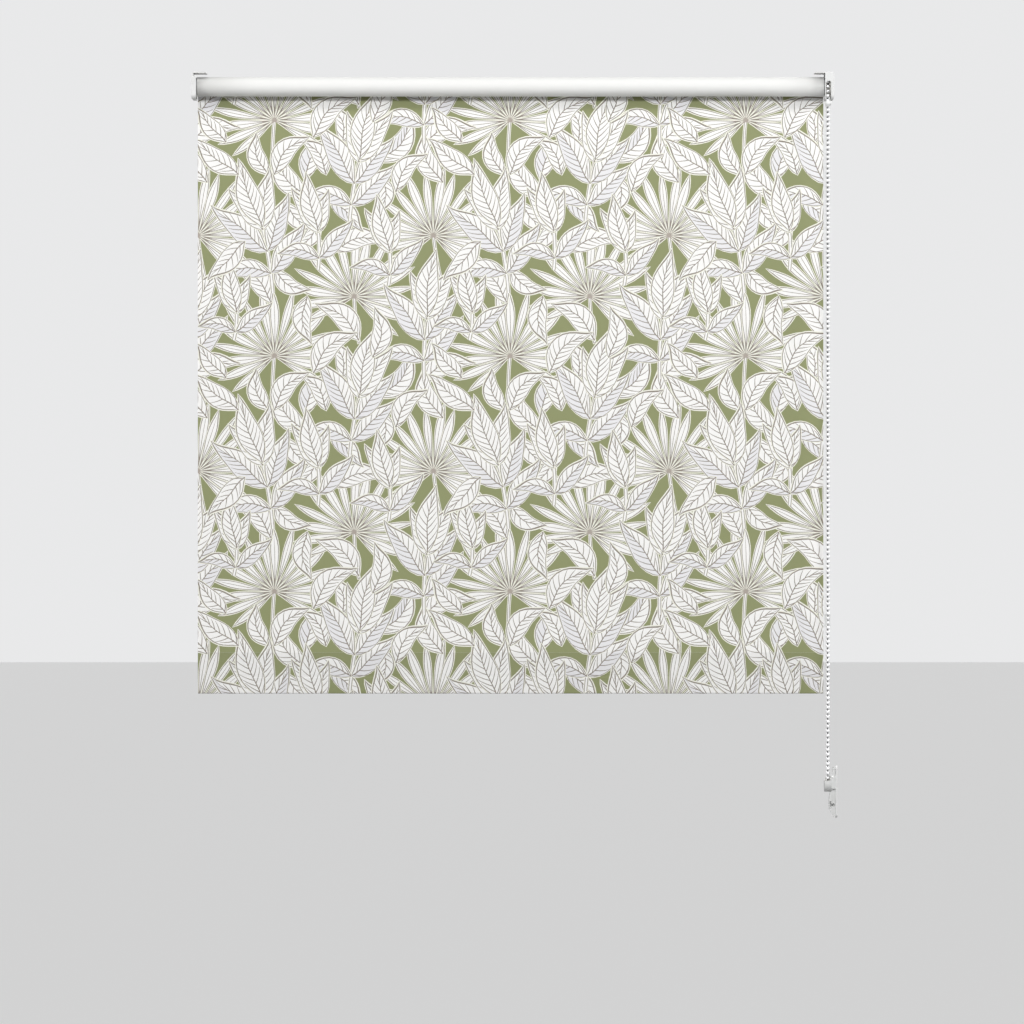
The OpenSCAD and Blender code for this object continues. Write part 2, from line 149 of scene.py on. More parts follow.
def make_world():
    """A pale room, which lights the blind gently"""
    world = bpy.data.worlds.new("pale room")
    world.use_nodes = True
    bpy.context.scene.world = world
    sky = world.node_tree.nodes["Background"]
    sky.inputs["Color"].default_value = (0.99, 0.993, 1.0, 1)
    seen_strength(world.node_tree, ROOM_LIGHT, ROOM_SEEN, sky)


def make_stage():
    """A pale floor well below the blind"""
    signs = ((-1, -1), (1, -1), (1, 1), (-1, 1))
    corners = [(x * FLOOR_SIDE, y * FLOOR_SIDE, FLOOR_Z) for x, y in signs]
    paint = bpy.data.materials.new("pale floor")
    paint.use_nodes = True
    tree = paint.node_tree
    shader = tree.nodes["Principled BSDF"]
    shader.inputs["Base Color"].default_value = (0.32, 0.322, 0.32, 1)
    shader.inputs["Roughness"].default_value = 0.8
    glow = tree.nodes.new("ShaderNodeEmission")
    both = tree.nodes.new("ShaderNodeAddShader")
    seen_strength(tree, 0.0, FLOOR_SEEN, glow)
    tree.links.new(shader.outputs[0], both.inputs[0])
    tree.links.new(glow.outputs[0], both.inputs[1])
    tree.links.new(both.outputs[0], tree.nodes["Material Output"].inputs["Surface"])
    mesh = bpy.data.meshes.new("stage_floor")
    mesh.from_pydata(corners, [], [(0, 1, 2, 3)])
    mesh.materials.append(paint)
    floor = bpy.data.objects.new("stage_floor", mesh)
    bpy.context.scene.collection.objects.link(floor)


# Materials

class Nodes:
    """A material's node tree, with short calls to add and link nodes"""

    def __init__(self, name, colour, roughness, metallic=0.0):
        self.material = bpy.data.materials.new(name)
        self.material.use_nodes = True
        self.tree = self.material.node_tree
        self.shader = self.tree.nodes["Principled BSDF"]
        self.set(self.shader, "Base Color", (*colour, 1))
        self.set(self.shader, "Roughness", roughness)
        self.set(self.shader, "Metallic", metallic)
        self.place = self.add("ShaderNodeTexCoord").outputs["Object"]

    def add(self, kind, **settings):
        node = self.tree.nodes.new(kind)
        for key, value in settings.items():
            setattr(node, key, value)
        return node

    def set(self, node, socket, value):
        node.inputs[socket].default_value = value

    def link(self, out, node, socket):
        self.tree.links.new(out, node.inputs[socket])

    def noise(self, scale, detail=2.0, stretch=(1, 1, 1)):
        """A noise of scale grains to the metre, more of them along an axis where stretch is above 1"""
        mapping = self.add("ShaderNodeMapping")
        self.set(mapping, "Scale", stretch)
        self.link(self.place, mapping, "Vector")
        node = self.add("ShaderNodeTexNoise")
        self.set(node, "Scale", scale)
        self.set(node, "Detail", detail)
        self.link(mapping.outputs[0], node, "Vector")
        return node.outputs[0]

    def wave(self, direction, pitch, distortion=0.6):
        """Bands across a direction, pitch metres apart; at a scale of 1 they are a tenth of pi apart"""
        node = self.add("ShaderNodeTexWave", wave_type="BANDS", bands_direction=direction)
        self.set(node, "Scale", 2 * math.pi / 20 / pitch)
        self.set(node, "Distortion", distortion)
        self.set(node, "Detail", 1.0)
        self.set(node, "Detail Scale", 1.5)
        self.link(self.place, node, "Vector")
        return node.outputs["Fac"]

    def maths(self, operation, a, b):
        """Joins two outputs or numbers"""
        node = self.add("ShaderNodeMath", operation=operation)
        for i, value in enumerate((a, b)):
            if isinstance(value, (int, float)):
                node.inputs[i].default_value = value
            else:
                self.tree.links.new(value, node.inputs[i])
        return node.outputs[0]

    def ramp(self, value, low, high):
        """A value from 0.3 to 0.7, which is nearly all of a noise, spread from low to high"""
        node = self.add("ShaderNodeMapRange")
        self.link(value, node, "Value")
        for socket, number in (("From Min", 0.3), ("From Max", 0.7), ("To Min", low), ("To Max", high)):
            self.set(node, socket, number)
        return node.outputs[0]

    def roughness(self, value, low, high):
        self.link(self.ramp(value, low, high), self.shader, "Roughness")

    def colours(self, value, first, second):
        """Mixes two colours by a noise"""
        node = self.add("ShaderNodeMix", data_type="RGBA")
        self.link(self.ramp(value, 0, 1), node, 0)
        node.inputs[6].default_value = (*first, 1)
        node.inputs[7].default_value = (*second, 1)
        self.link(node.outputs[2], self.shader, "Base Color")

    def bump(self, heights):
        """heights are pairs of a height from 0 to 1 and its depth in metres"""
        before = None
        for height, depth in heights:
            node = self.add("ShaderNodeBump")
            self.set(node, "Strength", 1.0)
            self.set(node, "Distance", depth)
            self.link(height, node, "Height")
            if before is not None:
                self.link(before, node, "Normal")
            before = node.outputs[0]
        self.link(before, self.shader, "Normal")


def linear(r, g, b):
    """A colour seen as r, g, b of 255, in the scene's linear values"""
    return tuple(((c / 255 + 0.055) / 1.055) ** 2.4 if c > 10 else c / 3294.6 for c in (r, g, b))


def cloth(name, colour, rough=(0.74, 0.9)):
    """Plain polyester weave with slubs along both threads"""
    n = Nodes(name, colour, 0.8)
    thread = 0.00052
    weave = n.maths("MAXIMUM", n.wave("X", thread), n.wave("Z", thread))
    across = n.noise(1.0, 3.0, (14, 14, 420))
    along = n.noise(1.0, 3.0, (420, 14, 14))
    slubs = n.maths("MAXIMUM", across, along)
    ripple = n.noise(9.0, 2.0)
    n.roughness(slubs, *rough)
    n.bump([(ripple, 0.0016), (slubs, 0.00009), (weave, 0.00005)])
    n.set(n.shader, "Sheen Weight", 0.12)
    n.set(n.shader, "Sheen Roughness", 0.5)
    n.set(n.shader, "Specular IOR Level", 0.25)
    return n.material


def moulded(name, first, second, rough=(0.38, 0.52), grain=0.00003):
    """Injection-moulded plastic with a fine spark-eroded skin"""
    n = Nodes(name, first, 0.45)
    n.colours(n.noise(55.0, 3.0), first, second)
    n.roughness(n.noise(140.0, 3.0), *rough)
    n.bump([(n.noise(38.0, 1.0), 0.00012), (n.noise(2600.0, 2.0), grain)])
    return n.material


def coated_steel():
    """White powder coat with its orange peel"""
    n = Nodes("powder coated steel", (0.7, 0.7, 0.69), 0.4)
    n.colours(n.noise(40.0, 3.0), (0.72, 0.72, 0.71), (0.66, 0.66, 0.645))
    n.roughness(n.noise(220.0, 3.0), 0.3, 0.46)
    n.bump([(n.noise(900.0, 2.0), 0.00005)])
    return n.material


def metal(name, first, second, rough, stretch=(1, 1, 1), scale=400.0, depth=0.00001, shine=1.0):
    """Metal with fine drawing lines, as metallic as its shine"""
    n = Nodes(name, first, 0.3, shine)
    n.colours(n.noise(90.0, 4.0), first, second)
    lines = n.noise(scale, 3.0, stretch)
    n.roughness(lines, *rough)
    n.bump([(lines, depth)])
    return n.material


def clear_plastic():
    """Clear plastic that is milky inside"""
    n = Nodes("milky clear plastic", (0.9, 0.91, 0.9), 0.3)
    n.colours(n.noise(160.0, 2.0), (0.9, 0.91, 0.9), (0.84, 0.85, 0.845))
    n.roughness(n.noise(300.0, 2.0), 0.16, 0.3)
    n.bump([(n.noise(500.0, 2.0), 0.00002)])
    n.set(n.shader, "Subsurface Weight", 0.35)
    n.set(n.shader, "Subsurface Radius", (0.9, 0.9, 0.9))
    n.set(n.shader, "Subsurface Scale", 0.002)
    return n.material


def tape_material():
    """Film of the double-sided tape"""
    n = Nodes("tape film", (0.82, 0.8, 0.72), 0.4)
    n.colours(n.noise(60.0, 3.0), (0.82, 0.8, 0.72), (0.76, 0.74, 0.66))
    n.roughness(n.noise(120.0, 2.0), 0.3, 0.5)
    n.bump([(n.noise(300.0, 2.0), 0.00002)])
    return n.material


def make_finishes():
    """The material for each of the record's slots that CAD nodes use"""
    return {
        "white_plastic": moulded("white plastic", (0.77, 0.775, 0.77), (0.72, 0.725, 0.715)),
        "wheel_nylon": moulded("wheel nylon", (0.78, 0.77, 0.73), (0.72, 0.71, 0.67), (0.3, 0.42)),
        "clutch_nylon": moulded("clutch nylon", (0.3, 0.31, 0.32), (0.24, 0.25, 0.26), (0.35, 0.5)),
        "clear_plastic": clear_plastic(),
        "bracket_steel": coated_steel(),
        "plated_steel": metal("zinc plate", (0.62, 0.63, 0.64), (0.5, 0.51, 0.5), (0.26, 0.42)),
        "spring_steel": metal("spring steel", (0.5, 0.49, 0.47), (0.4, 0.39, 0.37), (0.22, 0.36)),
        "tube_aluminium": metal(
            "extruded aluminium", (0.8, 0.8, 0.81), (0.72, 0.72, 0.73), (0.28, 0.44), (0.02, 1, 1), 900.0
        ),
        "tape": tape_material(),
    }


def paint_cad_nodes(finishes):
    """Gives each CAD node the finish of its slot"""
    for row in frame["record"]["subparts"]:
        node = frame["nodes"][row["node"]]
        if row["material_slot"] not in finishes:
            continue
        finish = finishes[row["material_slot"]]
        if not node.material_slots:
            node.data.materials.append(finish)
        for place in node.material_slots:
            place.material = finish


# The print: a repeat of leaves, in millimetres

TILE = 301.4
GROUND, HALO, LINE, LEAF, HUB, WASH = range(6)
INKS = {
    GROUND: ("green", (149, 154, 112)),
    HALO: ("cream", (247, 246, 235)),
    LINE: ("taupe", (145, 137, 126)),
    LEAF: ("white", (254, 253, 251)),
    HUB: ("warm taupe", (178, 168, 158)),
    WASH: ("pale grey", (241, 240, 242)),
}
HEM_SHADE = 0.96
LEAF_FULLNESS = 0.78
FINGER_FULLNESS = 1.55
VEIN_PITCH = 10.5
BLOCKS = 7
# Corners of the print are kept as whole thousandths of a millimetre, and a line counts as straight
# where a corner is no more than this many of them off it
FINE = 1000
STRAIGHT = 4


def curve(x, y, angle, length, bend, steps, sway=0.0):
    """Places x, y, heading on a curve that turns by bend over its length, and by sway and back"""
    places = [(x, y, angle)]
    for i in range(steps):
        t = (i + 0.5) / steps
        a = angle + bend * t + sway * math.sin(2 * math.pi * t)
        x, y = x + math.cos(a) * length / steps, y + math.sin(a) * length / steps
        t = (i + 1) / steps
        places.append((x, y, angle + bend * t + sway * math.sin(2 * math.pi * t)))
    return places


def band(spine, left, right=None):
    """Closed outline round a spine, anticlockwise, from its half widths on each side"""
    right = right or left
    there = [(x + math.sin(a) * w, y - math.cos(a) * w) for (x, y, a), w in zip(spine, right)]
    back = [(x - math.sin(a) * w, y + math.cos(a) * w) for (x, y, a), w in zip(spine, left)]
    return there + back[::-1]


def blade_width(t, fullness):
    """Half width at a share t of a blade's length, widest nearer its base where fullness is low"""
    return math.sin(math.pi * t ** fullness) ** 1.22


def blade(x, y, angle, length, half, bend, grow, fullness, steps=12, lean=0.0, sway=0.0):
    """A blade's outline, grown outwards all round"""
    back = max(0.0, grow) * 1.2
    spine = curve(x - math.cos(angle) * back, y - math.sin(angle) * back, angle,
                  length + back + grow * 1.9, bend, steps, sway)
    share = [blade_width(i / steps, fullness) for i in range(steps + 1)]
    left = [max(0.1, half * (1 + lean) * s + grow) for s in share]
    right = [max(0.1, half * (1 - lean) * s + grow) for s in share]
    left[0] = right[0] = left[-1] = right[-1] = 0.1
    return band(spine, left, right)


def at(spine, t):
    """The place and heading at a share t of a spine"""
    k = min(len(spine) - 1.001, max(0.0, t * (len(spine) - 1)))
    j, f = int(k), k - int(k)
    return tuple(spine[j][i] * (1 - f) + spine[j + 1][i] * f for i in range(3))


def leaf(shapes, x, y, angle, length, width, bend, sway=0.0, lean=0.0, washed=0):
    """Pointed leaf: pale edge, outline, face, wash over one side, midrib and veins to each side in turn"""
    angle, bend, half = math.radians(angle), math.radians(bend), width / 2
    for grow, paint in ((1.4, HALO), (0.45, LINE), (-0.5, LEAF)):
        shapes.append((blade(x, y, angle, length, half, bend, grow, LEAF_FULLNESS, 12, lean, sway), paint))
    spine = curve(x, y, angle, length * 0.97, bend, 24, sway)
    if washed:
        face = half * (1 + washed * lean)
        edge = [max(0.05, face * blade_width(i / 12, LEAF_FULLNESS) - 0.5) for i in range(13)]
        middle = [0.05] * 13
        sides = (edge, middle) if washed > 0 else (middle, edge)
        shapes.append((band(spine[::2], *sides), WASH))
    shapes.append((band(spine[::3], [0.68, 0.64, 0.6, 0.55, 0.5, 0.44, 0.36, 0.28, 0.1]), LINE))
    veins = max(4, round(length / VEIN_PITCH))
    for side in (-1, 1):
        for i in range(veins):
            t = 0.05 + (i + (0.5 if side > 0 else 0.0)) * 0.82 / veins
            end = min(0.97, t + 0.13 + 0.07 * (1 - t))
            room = half * (1 + side * lean) * blade_width(end, LEAF_FULLNESS) - 0.7
            if room < 1.2:
                continue
            px, py, a = at(spine, t)
            along = (end - t) * length
            run, opening = math.hypot(room, along), math.atan2(room, along)
            turn = bend * (end - t)
            vein = curve(px, py, a + side * opening * 1.25, run, turn - side * opening * 0.5, 3)
            shapes.append((band(vein, [0.52, 0.48, 0.38, 0.18]), LINE))


def finger(shapes, x, y, angle, length, width, bend=0.0):
    """Narrow blade of a palm fan, folded along its middle"""
    for grow, paint in ((1.3, HALO), (0.35, LINE), (-0.5, LEAF)):
        shapes.append((blade(x, y, angle, length, width / 2, bend, grow, FINGER_FULLNESS, 10), paint))
    spine = curve(x, y, angle, length * 0.9, bend * 0.9, 6)
    shapes.append((band(spine, [0.42, 0.4, 0.38, 0.34, 0.3, 0.24, 0.1]), LINE))


def stalk(shapes, x, y, angle, length, width, bend=0.0):
    """Stem of even width"""
    angle, bend = math.radians(angle), math.radians(bend)
    for grow, paint in ((1.2, HALO), (0.35, LINE), (-0.45, LEAF)):
        spine = curve(x, y, angle, length + grow, bend, 8)
        shapes.append((band(spine, [width / 2 + grow] * 9), paint))


def fan(shapes, x, y, radius, middle, span, fingers, stem):
    """Palm fan: its stem, then every other finger, the fingers between them, and a star at the middle"""
    stalk(shapes, x, y, stem, 60, 2.4, 8)
    for i in sorted(range(fingers), key=lambda i: (i % 2, i)):
        share = i / (fingers - 1)
        a = math.radians(middle - span / 2 + span * share)
        size = radius * (0.84 + 0.16 * math.sin(math.pi * share)) * (0.93 if i % 2 else 1.0)
        finger(shapes, x, y, a, size, 8.4 + (i * 5 % 3), 0.12 if share < 0.5 else -0.12)
    star = []
    for i in range(2 * fingers - 1):
        a = math.radians(middle - span / 2 + span * i / (2 * fingers - 2))
        r = 2.4 if i % 2 else 8.5
        star.append((x + r * math.cos(a), y + r * math.sin(a)))
    low = math.radians(middle + 180)
    star.append((x + 2.4 * math.cos(low), y + 2.4 * math.sin(low)))
    shapes.append((star, HUB))


def sprig(shapes, x, y, angle, length, size, bend=0.0, pairs=3, spread=64, width=0.33):
    """Stem with pairs of leaves that close up towards one leaf at its top"""
    spine = curve(x, y, math.radians(angle), length, math.radians(bend), 24)
    stalk(shapes, x, y, angle, length, 3.4, bend)
    for i in range(pairs):
        share = i / max(1, pairs - 1)
        px, py, a = at(spine, 0.30 + 0.66 * share)
        for side in (-1, 1):
            opening = (spread - 0.5 * spread * share) * (1.12 if side > 0 else 0.9)
            grow = size * (0.80 + 0.25 * math.sin(math.pi * (share * 0.75 + 0.12)))
            grow *= 1.08 if (side > 0) == (i % 2 > 0) else 0.92
            turn = -side * (34 - 16 * share) * (-1 if i == 0 and side > 0 else 1)
            leaf(shapes, px, py, math.degrees(a) + side * opening, grow, grow * width, turn,
                 -side * 0.26, side * 0.1, side if i < pairs - 1 else 0)
    px, py, a = spine[-1]
    leaf(shapes, px, py, math.degrees(a) + 3, size * 1.12, size * width * 1.12, bend * 0.5, 0.16)


def design():
    """The repeat's plants, lowest first, each at x and y from its lower left corner"""
    shapes = []
    fan(shapes, 52, 190, 88, 84, 262, 17, -84)
    fan(shapes, 150, 36, 88, 96, 256, 16, -96)
    fan(shapes, 252, 112, 88, 82, 255, 16, -88)
    leaf(shapes, 192, 238, 132, 82, 27, -24, 0.3)
    leaf(shapes, 280, 284, 40, 82, 27, 26, -0.3, washed=1)
    leaf(shapes, 36, 304, 34, 78, 27, -30, 0.3)
    leaf(shapes, 258, 56, 128, 76, 28, 24, -0.3)
    leaf(shapes, 64, 258, 122, 72, 26, -22, 0.3)
    leaf(shapes, 146, 104, 124, 70, 26, 26, -0.3)
    leaf(shapes, 226, 170, 24, 72, 26, -26, 0.3)
    leaf(shapes, 188, 262, 66, 68, 25, -26, 0.3, washed=1)
    leaf(shapes, 216, 268, 112, 58, 22, 26, -0.3)
    leaf(shapes, 142, 268, 118, 58, 22, -24, 0.3)
    leaf(shapes, 150, 146, -44, 56, 21, 30, -0.3)
    leaf(shapes, 222, 238, -58, 60, 21, 24, 0.3, washed=-1)
    leaf(shapes, 288, 266, -84, 52, 19, -24, 0.3)
    leaf(shapes, 164, 232, -50, 56, 20, 22, -0.3)
    leaf(shapes, 238, 6, 96, 54, 20, 20, -0.3)
    leaf(shapes, 206, 210, -118, 52, 18, -24, 0.3)
    sprig(shapes, 40, 6, 92, 80, 78, -10, 3)
    sprig(shapes, 148, 116, 94, 86, 82, 10, 3)
    sprig(shapes, 246, 204, 86, 84, 80, -10, 3)
    sprig(shapes, 206, 146, 84, 50, 68, 12, 2, 62)
    sprig(shapes, 98, 56, 76, 36, 62, 16, 2, 66)
    sprig(shapes, 296, 126, 80, 44, 66, 16, 2, 60)
    leaf(shapes, 200, 14, 58, 80, 29, -30, 0.3)
    leaf(shapes, 192, 112, -98, 64, 23, 26, -0.3)
    leaf(shapes, 104, 268, 128, 74, 27, 28, 0.3)
    leaf(shapes, 112, 182, -150, 68, 25, 32, 0.3)
    leaf(shapes, 4, 246, 66, 66, 24, -32, 0.3)
    leaf(shapes, 276, 34, 74, 68, 25, 28, -0.3)
    leaf(shapes, 150, 268, 62, 70, 26, -30, 0.3)
    leaf(shapes, 88, 8, 118, 58, 22, 26, 0.3)
    return shapes


def hidden(outline, box, covers):
    """Whether one of the shapes drawn later covers all of an outline"""
    return any(
        low_x < box[0] and high_x > box[1] and low_y < box[2] and high_y > box[3]
        and all(inside(cover, x, y) for x, y in outline)
        for cover, (low_x, high_x, low_y, high_y) in covers
    )


def inside(outline, x, y):
    """Whether a place is inside a closed outline, by the sides that a line from it crosses"""
    result = False
    for (x0, y0), (x1, y1) in zip(outline, outline[1:] + outline[:1]):
        if (y0 > y) != (y1 > y) and x < (x1 - x0) * (y - y0) / (y1 - y0) + x0:
            result = not result
    return result


def repeated_shapes():
    """The design's shapes with the copies that reach in over the repeat's borders, lowest first"""
    copies = []
    for outline, ink in design():
        for dx in (-TILE, 0, TILE):
            for dy in (-TILE, 0, TILE):
                moved = [(x + dx, y + dy) for x, y in outline]
                xs, ys = zip(*moved)
                box = (min(xs), max(xs), min(ys), max(ys))
                if box[1] > 0 and box[0] < TILE and box[3] > 0 and box[2] < TILE:
                    copies.append((moved, ink, box))
    covers, shown = [], []
    for outline, ink, box in reversed(copies):
        if not hidden(outline, box, covers):
            shown.append((outline, ink, box))
        if ink == HALO:
            covers.append((outline, box))
    return shown[::-1]


def print_tile():
    """The repeat as corners, triangles and each triangle's ink"""
    shapes = repeated_shapes()
    sides = {}
    size = TILE / BLOCKS
    for column in range(BLOCKS):
        for row in range(BLOCKS):
            x0, x1, y0, y1 = column * size, (column + 1) * size, row * size, (row + 1) * size
            outlines, inks = [[(x0, y0), (x1, y0), (x1, y1), (x0, y1)]], [GROUND]
            for outline, ink, box in shapes:
                if box[1] > x0 and box[0] < x1 and box[3] > y0 and box[2] < y1:
                    outlines.append(outline)
                    inks.append(ink)
            read_block(sides, outlines, inks)
    borders = {edge: ink for edge, ink in sides.items() if sides.get(edge[::-1]) != ink}
    return fill(simplified(borders))


def read_block(sides, outlines, inks):
    """Notes the ink on the left of each edge of what shows of the outlines inside the first one"""
    points, faces = [], []
    for outline in outlines:
        faces.append(list(range(len(points), len(points) + len(outline))))
        points.extend(Vector(place) for place in outline)
    found, _, cells, _, _, sources = geometry.delaunay_2d_cdt(points, [], faces, 3, 1e-4)
    names = [(round(p.x * FINE), round(p.y * FINE)) for p in found]
    for cell, source in zip(cells, sources):
        if 0 in source:
            ring = [names[k] for k in cell]
            for a, b in zip(ring, ring[1:] + ring[:1]):
                if a != b:
                    sides[a, b] = inks[max(source)]


def simplified(borders):
    """The same borders without the corners at which a line goes straight on"""
    after, before = {}, {}
    for a, b in borders:
        after.setdefault(a, set()).add(b)
        before.setdefault(b, set()).add(a)
    for corner in sorted(set(after) | set(before)):
        near = after.get(corner, set()) | before.get(corner, set())
        if len(near) != 2:
            continue
        a, b = sorted(near)
        along = (b[0] - a[0], b[1] - a[1])
        off = along[0] * (corner[1] - a[1]) - along[1] * (corner[0] - a[0])
        way = along[0] * (corner[0] - a[0]) + along[1] * (corner[1] - a[1])
        span = math.hypot(*along)
        straight = abs(off) <= STRAIGHT * span and 0 < way < span * span
        if not straight or b in after.get(a, ()) or a in after.get(b, ()):
            continue
        for first, last in ((a, b), (b, a)):
            ink = borders.pop((first, corner), None)
            other = borders.pop((corner, last), None)
            if ink is not None and other is not None:
                borders[first, last] = ink
                after[first].discard(corner)
                after[first].add(last)
                after[corner].discard(last)
                before[last].discard(corner)
                before[last].add(first)
                before[corner].discard(first)
    return borders


def fill(borders):
    """Triangles between the borders, each with the ink on its side of them"""
    corners = sorted({corner for edge in borders for corner in edge})
    index = {corner: k for k, corner in enumerate(corners)}
    edges = sorted({(min(index[a], index[b]), max(index[a], index[b])) for a, b in borders})
    points = [Vector((x / FINE, y / FINE)) for x, y in corners]
    found, _, triangles, sources, _, _ = geometry.delaunay_2d_cdt(points, edges, [], 0, 1e-5)
    names = [corners[source[0]] if source else None for source in sources]
    inks = [None] * len(triangles)
    across = {}
    for k, triangle in enumerate(triangles):
        for a, b in zip(triangle, triangle[1:] + triangle[:1]):
            across[a, b] = k
            ink = borders.get((names[a], names[b]))
            if ink is not None:
                inks[k] = ink
    todo = [k for k, ink in enumerate(inks) if ink is not None]
    while todo:
        k = todo.pop()
        triangle = triangles[k]
        for a, b in zip(triangle, triangle[1:] + triangle[:1]):
            other = across.get((b, a))
            walled = (names[a], names[b]) in borders or (names[b], names[a]) in borders
            if other is not None and not walled and inks[other] is None:
                inks[other] = inks[k]
                todo.append(other)
    return [(p.x, p.y) for p in found], triangles, [GROUND if ink is None else ink for ink in inks]


# Fabric

# The lower left corner of one of the print's repeats
PRINT_X = -452.1
PRINT_Z = -1000.0

# The roll's outer end stands off by the flare, which dies away over a share of a turn, and the
# turns lie a little uneven between their edges
ROLL_STEPS = 80
ROLL_COLUMNS = 10
FLARE = 0.65
FLARE_TURN = 0.09
UNEVEN = 0.05


def make_inks():
    """The print's inks, and copies of them painted a little deeper, as painted shade, where the hem lets
    no light through
    """
    front, hem = [], []
    for ink in sorted(INKS):
        name, colour = INKS[ink]
        front.append(cloth(f"print {name}", linear(*colour)))
        # Painted shade: each ink again, darker, for the hem band
        hem.append(cloth(f"painted-shade hem print {name}", linear(*(c * HEM_SHADE for c in colour))))
    return front, hem


def printed_area(tile, x_low, x_high, z_low, z_high):
    """The print over an area of the front, in a bmesh with each face's ink as its material"""
    corners, triangles, inks = tile
    mesh = bmesh.new()
    first_column, last_column = (math.floor((x - PRINT_X) / TILE) for x in (x_low, x_high))
    first_row, last_row = (math.floor((z - PRINT_Z) / TILE) for z in (z_low, z_high))
    places = {}
    for column in range(first_column, last_column + 1):
        for row in range(first_row, last_row + 1):
            x0, z0 = PRINT_X + column * TILE, PRINT_Z + row * TILE
            made = []
            for x, z in corners:
                key = (round((x0 + x) * FINE), round((z0 + z) * FINE))
                if key not in places:
                    places[key] = mesh.verts.new((x0 + x, 0, z0 + z))
                made.append(places[key])
            for triangle, ink in zip(triangles, inks):
                ring = [made[k] for k in triangle]
                if len(set(ring)) == 3 and box_meets(
                    corners, triangle, x_low - x0, x_high - x0, z_low - z0, z_high - z0
                ):
                    face = mesh.faces.new(ring)
                    face.material_index = ink
    for place, normal in (
        ((x_low, 0, 0), (-1, 0, 0)), ((x_high, 0, 0), (1, 0, 0)),
        ((0, 0, z_low), (0, 0, -1)), ((0, 0, z_high), (0, 0, 1)),
    ):
        cut(mesh, place, normal, True)
    bmesh.ops.delete(mesh, geom=[v for v in mesh.verts if not v.link_faces], context="VERTS")
    return mesh


def box_meets(corners, triangle, x_low, x_high, z_low, z_high):
    """Whether a triangle's box meets an area"""
    xs, zs = zip(*(corners[k] for k in triangle))
    return max(xs) > x_low and min(xs) < x_high and max(zs) > z_low and min(zs) < z_high


def cut(mesh, place, normal, clear):
    """Cuts a bmesh along a plane, and clears what is past it"""
    bmesh.ops.bisect_plane(
        mesh, geom=mesh.verts[:] + mesh.edges[:] + mesh.faces[:], dist=0.001,
        plane_co=place, plane_no=normal, clear_outer=clear
    )


def finished(name, mesh, materials, smooth=False):
    """Turns a bmesh in millimetres into an object in metres"""
    mesh.transform(Matrix.Scale(MM, 4))
    data = bpy.data.meshes.new(name)
    mesh.to_mesh(data)
    mesh.free()
    for material in materials:
        data.materials.append(material)
    for face in data.polygons:
        face.use_smooth = smooth
    piece = bpy.data.objects.new(name, data)
    bpy.context.scene.collection.objects.link(piece)
    return piece


def make_drop(tile, inks, reverse):
    """The single layer between the roll and the hem, printed in front and white behind"""
    half = FABRIC_W / 2
    mesh = printed_area(tile, -half, half, BAND_TOP, AXIS_Z)
    for corner in mesh.verts:
        corner.co.y = SHEET_Y
    rim = [edge for edge in mesh.edges if edge.is_boundary]
    pushed = bmesh.ops.extrude_edge_only(mesh, edges=rim)["geom"]
    for item in pushed:
        if isinstance(item, bmesh.types.BMVert):
            item.co.y = SHEET_Y + FABRIC_T
        if isinstance(item, bmesh.types.BMFace):
            item.material_index = len(inks)
    back = [item for item in pushed if isinstance(item, bmesh.types.BMEdge) and item.is_boundary]
    for face in bmesh.ops.edgeloop_fill(mesh, edges=back)["faces"]:
        face.material_index = len(inks)
    bmesh.ops.recalc_face_normals(mesh, faces=mesh.faces)
    piece = finished("printed_drop", mesh, inks + [reverse])
    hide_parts("fabric_drop")
    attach(piece, "root")
    return piece


BAND_GAP = 0.05
SEAL_DENT = 0.14
FOLD_R = 1.1
FOLD_CUT = 0.32
# The hem's outer face, as places of y and z from the top of the band down, round and up behind
HEM_ROUTE = [
    (SHEET_Y, BAND_TOP - BAND_GAP),
    (SHEET_Y, POCKET_TOP + 0.9),
    (SHEET_Y + SEAL_DENT, POCKET_TOP + 0.2),
    (SHEET_Y + SEAL_DENT, POCKET_TOP - SEAL_H),
    (SHEET_Y, POCKET_TOP - SEAL_H - 0.8),
    (SHEET_Y, HEM_BOTTOM + FOLD_R),
    (SHEET_Y + FOLD_CUT, HEM_BOTTOM + FOLD_CUT),
    (SHEET_Y + FOLD_R, HEM_BOTTOM),
    (POCKET_BACK_Y - FOLD_R, HEM_BOTTOM),
    (POCKET_BACK_Y - FOLD_CUT, HEM_BOTTOM + FOLD_CUT),
    (POCKET_BACK_Y, HEM_BOTTOM + FOLD_R),
    (POCKET_BACK_Y, HEM_BOTTOM + 17.15),
    (SHEET_Y + 0.8, POCKET_TOP - SEAL_H),
    (SHEET_Y + 0.74, POCKET_TOP),
]


def make_hem_band(tile, inks, reverse):
    """The lowest part of the fabric with its folded and sealed pocket"""
    half = FABRIC_W / 2
    lengths = [math.dist(a, b) for a, b in zip(HEM_ROUTE, HEM_ROUTE[1:])]
    total = sum(lengths)
    mesh = printed_area(tile, -half, half, BAND_TOP - total, BAND_TOP)
    level = BAND_TOP
    levels = [level]
    for length in lengths:
        level -= length
        levels.append(level)
        if level > BAND_TOP - total + 0.01:
            cut(mesh, (0, 0, level), (0, 0, 1), False)
    for corner in mesh.verts:
        z = corner.co.z
        k = 0
        while k < len(lengths) - 1 and z < levels[k + 1]:
            k += 1
        share = min(1.0, max(0.0, (levels[k] - z) / lengths[k]))
        (y0, z0), (y1, z1) = HEM_ROUTE[k], HEM_ROUTE[k + 1]
        corner.co.y, corner.co.z = y0 + (y1 - y0) * share, z0 + (z1 - z0) * share
    piece = finished("hem_band", mesh, inks + [reverse])
    shell = piece.modifiers.new("thickness", "SOLIDIFY")
    shell.thickness = FABRIC_T * MM * 0.9
    shell.offset = -1.0
    shell.material_offset = len(inks)
    shell.material_offset_rim = len(inks)
    apply_modifiers(piece)
    for face in piece.data.polygons:
        face.material_index = min(face.material_index, len(inks))
    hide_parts("hem_pocket")
    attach(piece, "hem")
    return piece


